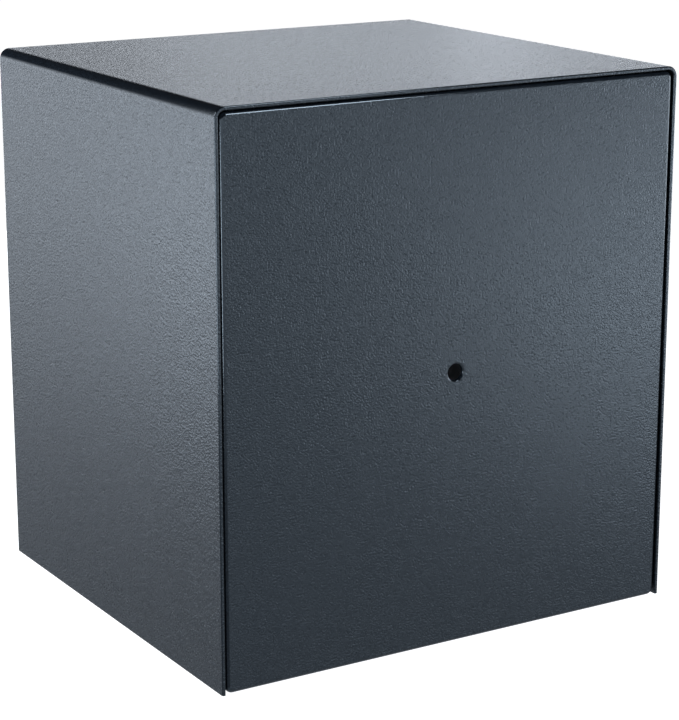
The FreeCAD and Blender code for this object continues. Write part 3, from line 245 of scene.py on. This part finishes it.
def circuit_board(name, colour):
    """Solder mask with the shallow relief of its tracks."""
    look = Look(name, Coat_Weight=0.3, Coat_Roughness=0.2)
    bricks = look.add("ShaderNodeTexBrick", {
        "Vector": look.place, "Scale": 260.0, "Mortar Size": 0.03,
        "Color1": scaled(colour, 1.0), "Color2": scaled(colour, 0.85), "Mortar": scaled(colour, 1.5),
    })
    return look.finish(
        Base_Color=bricks.outputs["Color"],
        Roughness=look.ramp(look.noise(5 * MM), 0.3, 0.7, 0.28, 0.42),
        Normal=look.bump(bricks.outputs["Fac"], 0.03 * MM),
    )


def make_materials():
    colour = {entry["slot"]: tuple(entry["base_color"][:3]) for entry in frame["record"]["materials"]}
    along_x, along_y, along_z = (0.04, 1, 1), (1, 0.04, 1), (1, 1, 0.04)
    return {
        "anthracite_coat": powder_coat("anthracite_coat", COAT),
        "casing_coat": powder_coat("casing_coat", COAT, grain=0.7),
        "concrete": concrete("concrete", colour["concrete"]),
        "bare_steel": metal("bare_steel", colour["bare_steel"], 0.32, along_x),
        "zinc_plate": metal("zinc_plate", colour["zinc_plate"], 0.38, size=1.4, depth=0.01),
        "spring_steel": metal("spring_steel", colour["spring_steel"], 0.35),
        "hardened_steel": metal("hardened_steel", colour["hardened_steel"], 0.40, along_z),
        "cast_zinc": metal("cast_zinc", colour["cast_zinc"], 0.55, size=0.9, depth=0.03),
        "motor_can": metal("motor_can", colour["motor_can"], 0.30, along_z),
        "brass": metal("brass", colour["brass"], 0.30, along_y),
        "satin_metal": metal("satin_metal", colour["satin_metal"], 0.30, along_z, size=0.3, depth=0.003),
        "felt": felt("felt", colour["felt"]),
        "keypad_plastic": plastic("keypad_plastic", colour["keypad_plastic"], 0.52, depth=0.05),
        "key_plastic": plastic("key_plastic", colour["key_plastic"], 0.42),
        "silicone": plastic("silicone", colour["silicone"], 0.60, size=1.2),
        "circuit_board": circuit_board("circuit_board", colour["circuit_board"]),
        "light_lens": plastic("light_lens", colour["light_lens"], 0.15, Transmission_Weight=0.4, IOR=1.49),
        "battery_wrap": plastic("battery_wrap", colour["battery_wrap"], 0.30, size=4, depth=0.01),
        "legend_ink": plastic("legend_ink", (0.78, 0.80, 0.80), 0.45),
    }


def dress_nodes(materials):
    """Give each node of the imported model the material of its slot."""
    for part in frame["record"]["subparts"]:
        for slot in nodes[part["node"]].material_slots:
            slot.material = materials[part["material_slot"]]


# ---------------------------------------------------------------- pieces

def add_piece(name, data, material, body):
    data.materials.append(material)
    piece = bpy.data.objects.new(name, data)
    bpy.context.scene.collection.objects.link(piece)
    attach(piece, body)
    return piece


def finished(shell, name):
    """A smooth-shaded mesh from a bmesh, its doubled points merged and its faces turned outwards."""
    bmesh.ops.remove_doubles(shell, verts=shell.verts[:], dist=0.001 * MM)
    bmesh.ops.recalc_face_normals(shell, faces=shell.faces[:])
    mesh = bpy.data.meshes.new(name)
    shell.to_mesh(mesh)
    shell.free()
    mesh.polygons.foreach_set("use_smooth", [True] * len(mesh.polygons))
    return mesh


def mesh_of(name, points, faces):
    shell = bmesh.new()
    corners = [shell.verts.new(point) for point in points]
    for face in faces:
        shell.faces.new([corners[number] for number in face])
    return finished(shell, name)


MAT_HOLE_RADIUS = 20 * MM
MAT_EDGE = 0.9 * MM
MAT_STEPS = 32
MAT_RINGS = 22
MAT_LOFT = 0.25 * MM
MAT_WAVES_PER_METRE = 40


def rectangle_walk(low, high, steps):
    """Points along the sides of a rectangle, steps to a side, its corners among them."""
    corners = [Vector((low.x, low.y)), Vector((high.x, low.y)), Vector((high.x, high.y)), Vector((low.x, high.y))]
    return [
        start.lerp(end, step / steps)
        for start, end in zip(corners, corners[1:] + corners[:1])
        for step in range(steps)
    ]


def mat_profile(low, high):
    """Its soft edge, as (distance in from the edge, level), and the way across, as (share of the way, level)."""
    inset = 0.3 * MAT_EDGE
    rise = [(0, low), (0, high - MAT_EDGE), (inset, high - inset), (MAT_EDGE, high)]
    across = [(number / MAT_RINGS, high) for number in range(1, MAT_RINGS)]
    return rise, across


def wound_faces(columns, rows):
    """Quads between the columns of a closed ring whose profile is closed too."""
    return [
        (
            column * rows + row,
            (column + 1) % columns * rows + row,
            (column + 1) % columns * rows + (row + 1) % rows,
            column * rows + (row + 1) % rows,
        )
        for column in range(columns)
        for row in range(rows)
    ]


def make_felt_mat(material):
    """The felt mat, a cut sheet with soft edges, round its hole too, and a slightly uneven top."""
    low, high = (Vector(corner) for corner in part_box("floor_mat"))
    rise, across = mat_profile(low.z, high.z)
    points = []
    for rim in rectangle_walk(low, high, MAT_STEPS):
        hole = rim.normalized() * MAT_HOLE_RADIUS
        reach = (rim - hole).length
        shares = [(near / reach, level) for near, level in rise]
        shares += [((MAT_EDGE + share * (reach - 2 * MAT_EDGE)) / reach, level) for share, level in across]
        shares += [(1 - near / reach, level) for near, level in reversed(rise)]
        for share, level in shares:
            place = hole.lerp(rim, share)
            wave = (place.x * MAT_WAVES_PER_METRE, place.y * MAT_WAVES_PER_METRE, 0)
            loft = MAT_LOFT * noise.noise(wave) if level == high.z else 0
            points.append((place.x, place.y, level - abs(loft)))
    count = 2 * len(rise) + len(across)
    faces = wound_faces(len(points) // count, count)
    mat = add_piece("felt_mat", mesh_of("felt_mat", points, faces), material, "carcass")
    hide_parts("floor_mat")


LEGENDS = {
    "key_1": "1", "key_2": "2", "key_3": "3", "key_4": "4", "key_5": "5", "key_6": "6",
    "key_7": "7", "key_8": "8", "key_9": "9", "key_clear": "C", "key_0": "0", "key_enter": "E",
}
LEGEND_HEIGHT = 8.5 * MM
LEGEND_RELIEF = 0.06 * MM
LEGEND_BOLDNESS = 0.12 * MM


def make_legends(material):
    """A moulded-in figure on the front of each key."""
    for key, mark in LEGENDS.items():
        low, high = (Vector(corner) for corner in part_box(key))
        text = bpy.data.curves.new(f"legend_{key}", "FONT")
        text.body = mark
        text.size = LEGEND_HEIGHT
        text.align_x = "CENTER"
        text.align_y = "CENTER"
        text.extrude = LEGEND_RELIEF
        text.offset = LEGEND_BOLDNESS
        legend = add_piece(f"legend_{key}", text, material, key)
        legend.location = ((low.x + high.x) / 2, low.y, (low.z + high.z) / 2)
        legend.rotation_euler = (math.radians(90), 0, 0)


# The battery: a sleeve between two crimped end plates, with two snap contacts on one of them.
BATTERY_CONTACT_HEIGHT = 3.0 * MM
BATTERY_PLATE = 2.5 * MM
BATTERY_PLATE_INSET = 0.5 * MM
BATTERY_PLATE_RADIUS = 0.7 * MM
BATTERY_SLEEVE_INSET = 0.8 * MM
BATTERY_SLEEVE_RADIUS = 2.4 * MM
BATTERY_CONTACT_OFFSET = 6.35 * MM
# Each contact's profile as (radius, height) in millimetres.
STUD_PROFILE = ((0.0, 3.0), (1.9, 3.0), (2.6, 2.6), (2.9, 2.0), (2.5, 1.0), (2.5, 0.3), (3.6, 0.0))
SOCKET_PROFILE = ((0.0, 0.4), (3.2, 0.4), (3.2, 2.6), (3.6, 3.0), (4.1, 2.7), (4.3, 1.4), (4.3, 0.3), (5.0, 0.0))


def rounded_box(name, low, high, radius, segments=4):
    shell = bmesh.new()
    size = high - low
    place = Matrix.Translation((low + high) / 2) @ Matrix.Diagonal((*size, 1))
    bmesh.ops.create_cube(shell, size=1, matrix=place)
    bmesh.ops.bevel(shell, geom=shell.edges[:], offset=radius, segments=segments, profile=0.5, affect="EDGES")
    return finished(shell, name)


def turned(profile, centre, steps=24):
    """Points and faces of a profile of (radius, height) in millimetres, turned about +X."""
    points = [
        centre + Vector((height, radius * math.cos(turn), radius * math.sin(turn))) * MM
        for radius, height in profile
        for turn in (math.tau * step / steps for step in range(steps))
    ]
    faces = [
        (
            ring * steps + step,
            ring * steps + (step + 1) % steps,
            (ring + 1) * steps + (step + 1) % steps,
            (ring + 1) * steps + step,
        )
        for ring in range(len(profile) - 1)
        for step in range(steps)
    ]
    return points, faces


def make_battery(materials):
    """A nine-volt block: sleeved body, crimped end plates and two snap contacts."""
    low, high = (Vector(corner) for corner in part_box("battery"))
    end = high.x - BATTERY_CONTACT_HEIGHT
    start = low + Vector((BATTERY_SLEEVE_INSET, 0, 0))
    stop = Vector((end - BATTERY_SLEEVE_INSET, high.y, high.z))
    sleeve = rounded_box("battery_sleeve", start, stop, BATTERY_SLEEVE_RADIUS)
    body = add_piece("battery_sleeve", sleeve, materials["battery_wrap"], "battery_tray")
    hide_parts("battery")
    margin = Vector((0, BATTERY_PLATE_INSET, BATTERY_PLATE_INSET))
    ends = (("battery_foot", low.x, low.x + BATTERY_PLATE), ("battery_head", end - BATTERY_PLATE, end))
    for name, near, far in ends:
        corners = Vector((near, low.y, low.z)) + margin, Vector((far, high.y, high.z)) - margin
        plate = rounded_box(name, *corners, BATTERY_PLATE_RADIUS)
        add_piece(name, plate, materials["zinc_plate"], "battery_tray")
    middle = (low + high) / 2
    for name, profile, side in (("battery_stud", STUD_PROFILE, -1), ("battery_socket", SOCKET_PROFILE, 1)):
        points, faces = turned(profile, Vector((end, middle.y, middle.z + side * BATTERY_CONTACT_OFFSET)))
        add_piece(name, mesh_of(name, points, faces), materials["zinc_plate"], "battery_tray")


# ---------------------------------------------------------------- floor and light

FLOOR_HALF = 12.0


def add_floor():
    """A plain pale floor; its own glow keeps it near white, and it throws no light back at the object."""
    mesh = bpy.data.meshes.new("floor")
    corners = [(x * FLOOR_HALF, y * FLOOR_HALF, 0) for x, y in ((-1, -1), (1, -1), (1, 1), (-1, 1))]
    mesh.from_pydata(corners, [], [(0, 1, 2, 3)])
    floor = bpy.data.objects.new("floor", mesh)
    bpy.context.scene.collection.objects.link(floor)
    look = Look("floor", Specular_IOR_Level=0.0, Emission_Color=shade((1.0,) * 3), Emission_Strength=1.0)
    tone = look.ramp(look.noise(0.8, detail=1.0), 0.3, 0.7)
    mesh.materials.append(look.finish(
        Base_Color=look.mix(tone, shade((0.40,) * 3), shade((0.42,) * 3)),
        Roughness=look.ramp(tone, 0, 1, 0.8, 0.9),
    ))
    floor.visible_diffuse = False
    floor.visible_glossy = False


LIGHT_CENTRE = Vector((0, 0, 0.25))
LIGHT_COLOUR = (0.92, 0.985, 1.08)


def add_softbox(name, azimuth, elevation, distance, size, power):
    """A square soft light aimed at the object; azimuth 0 is +X and 90 is +Y, in degrees."""
    data = bpy.data.lights.new(name, "AREA")
    data.shape = "SQUARE"
    data.size = size
    data.energy = power
    data.color = LIGHT_COLOUR
    across, up = math.radians(azimuth), math.radians(elevation)
    direction = Vector((math.cos(across) * math.cos(up), math.sin(across) * math.cos(up), math.sin(up)))
    light = bpy.data.objects.new(name, data)
    light.location = LIGHT_CENTRE + direction * distance
    light.rotation_euler = (-direction).to_track_quat("-Z", "Y").to_euler()
    light.visible_camera = False
    bpy.context.scene.collection.objects.link(light)


# Brightness of the surroundings against the height of the direction, from -1 straight down to 1 straight up.
SWEEP = ((-0.60, 0.70), (-0.33, 0.20), (-0.05, 2.60), (0.22, 0.02))


def add_world():
    """A plain sweep that is bright along the horizon and dark overhead."""
    world = bpy.data.worlds.new("studio")
    world.use_nodes = True
    tree = world.node_tree
    direction = tree.nodes.new("ShaderNodeTexCoord").outputs["Generated"]
    parts = tree.nodes.new("ShaderNodeSeparateXYZ")
    height = tree.nodes.new("ShaderNodeMapRange")
    tree.links.new(direction, parts.inputs["Vector"])
    tree.links.new(parts.outputs["Z"], height.inputs["Value"])
    height.inputs["From Min"].default_value = -1
    ramp = tree.nodes.new("ShaderNodeValToRGB")
    tree.links.new(height.outputs["Result"], ramp.inputs["Fac"])
    stops = ramp.color_ramp.elements
    stops.remove(stops[1])
    for number, (level, brightness) in enumerate(SWEEP):
        stop = stops[0] if number == 0 else stops.new(1)
        stop.position = (level + 1) / 2
        stop.color = scaled(LIGHT_COLOUR, brightness)
    background = tree.nodes["Background"]
    tree.links.new(ramp.outputs["Color"], background.inputs["Color"])
    background.inputs["Strength"].default_value = 1
    bpy.context.scene.world = world


# Name, azimuth and elevation in degrees, distance and size in metres, power in watts.
SOFTBOXES = (
    ("rear_low", 152, 3, 1.3, 0.45, 3.8),
    ("rear_near", 130, -8, 0.9, 0.25, 0.85),
    ("side_low", 328, -3, 1.2, 0.4, 3.6),
    ("side_high", 326, 30, 1.2, 0.4, 9.0),
    ("far", 238, 25, 1.7, 0.6, 0.75),
    ("far_right", 222, 18, 1.7, 0.6, 0.5),
    ("front", 264, 0, 1.6, 0.45, 5.0),
    ("bend_top", 114, 39, 1.49, 0.35, 7),
    ("bend_right", 178, -4, 1.33, 0.22, 1.8),
    ("bend_left", 31, -5, 1.3, 0.30, 5.0),
)


def light_studio():
    add_world()
    for softbox in SOFTBOXES:
        add_softbox(*softbox)
    bpy.context.scene.view_settings.view_transform = "Standard"


# ---------------------------------------------------------------- make everything

materials = make_materials()
dress_nodes(materials)
make_felt_mat(materials["felt"])
make_legends(materials["legend_ink"])
make_battery(materials)
add_camera()
add_floor()
light_studio()
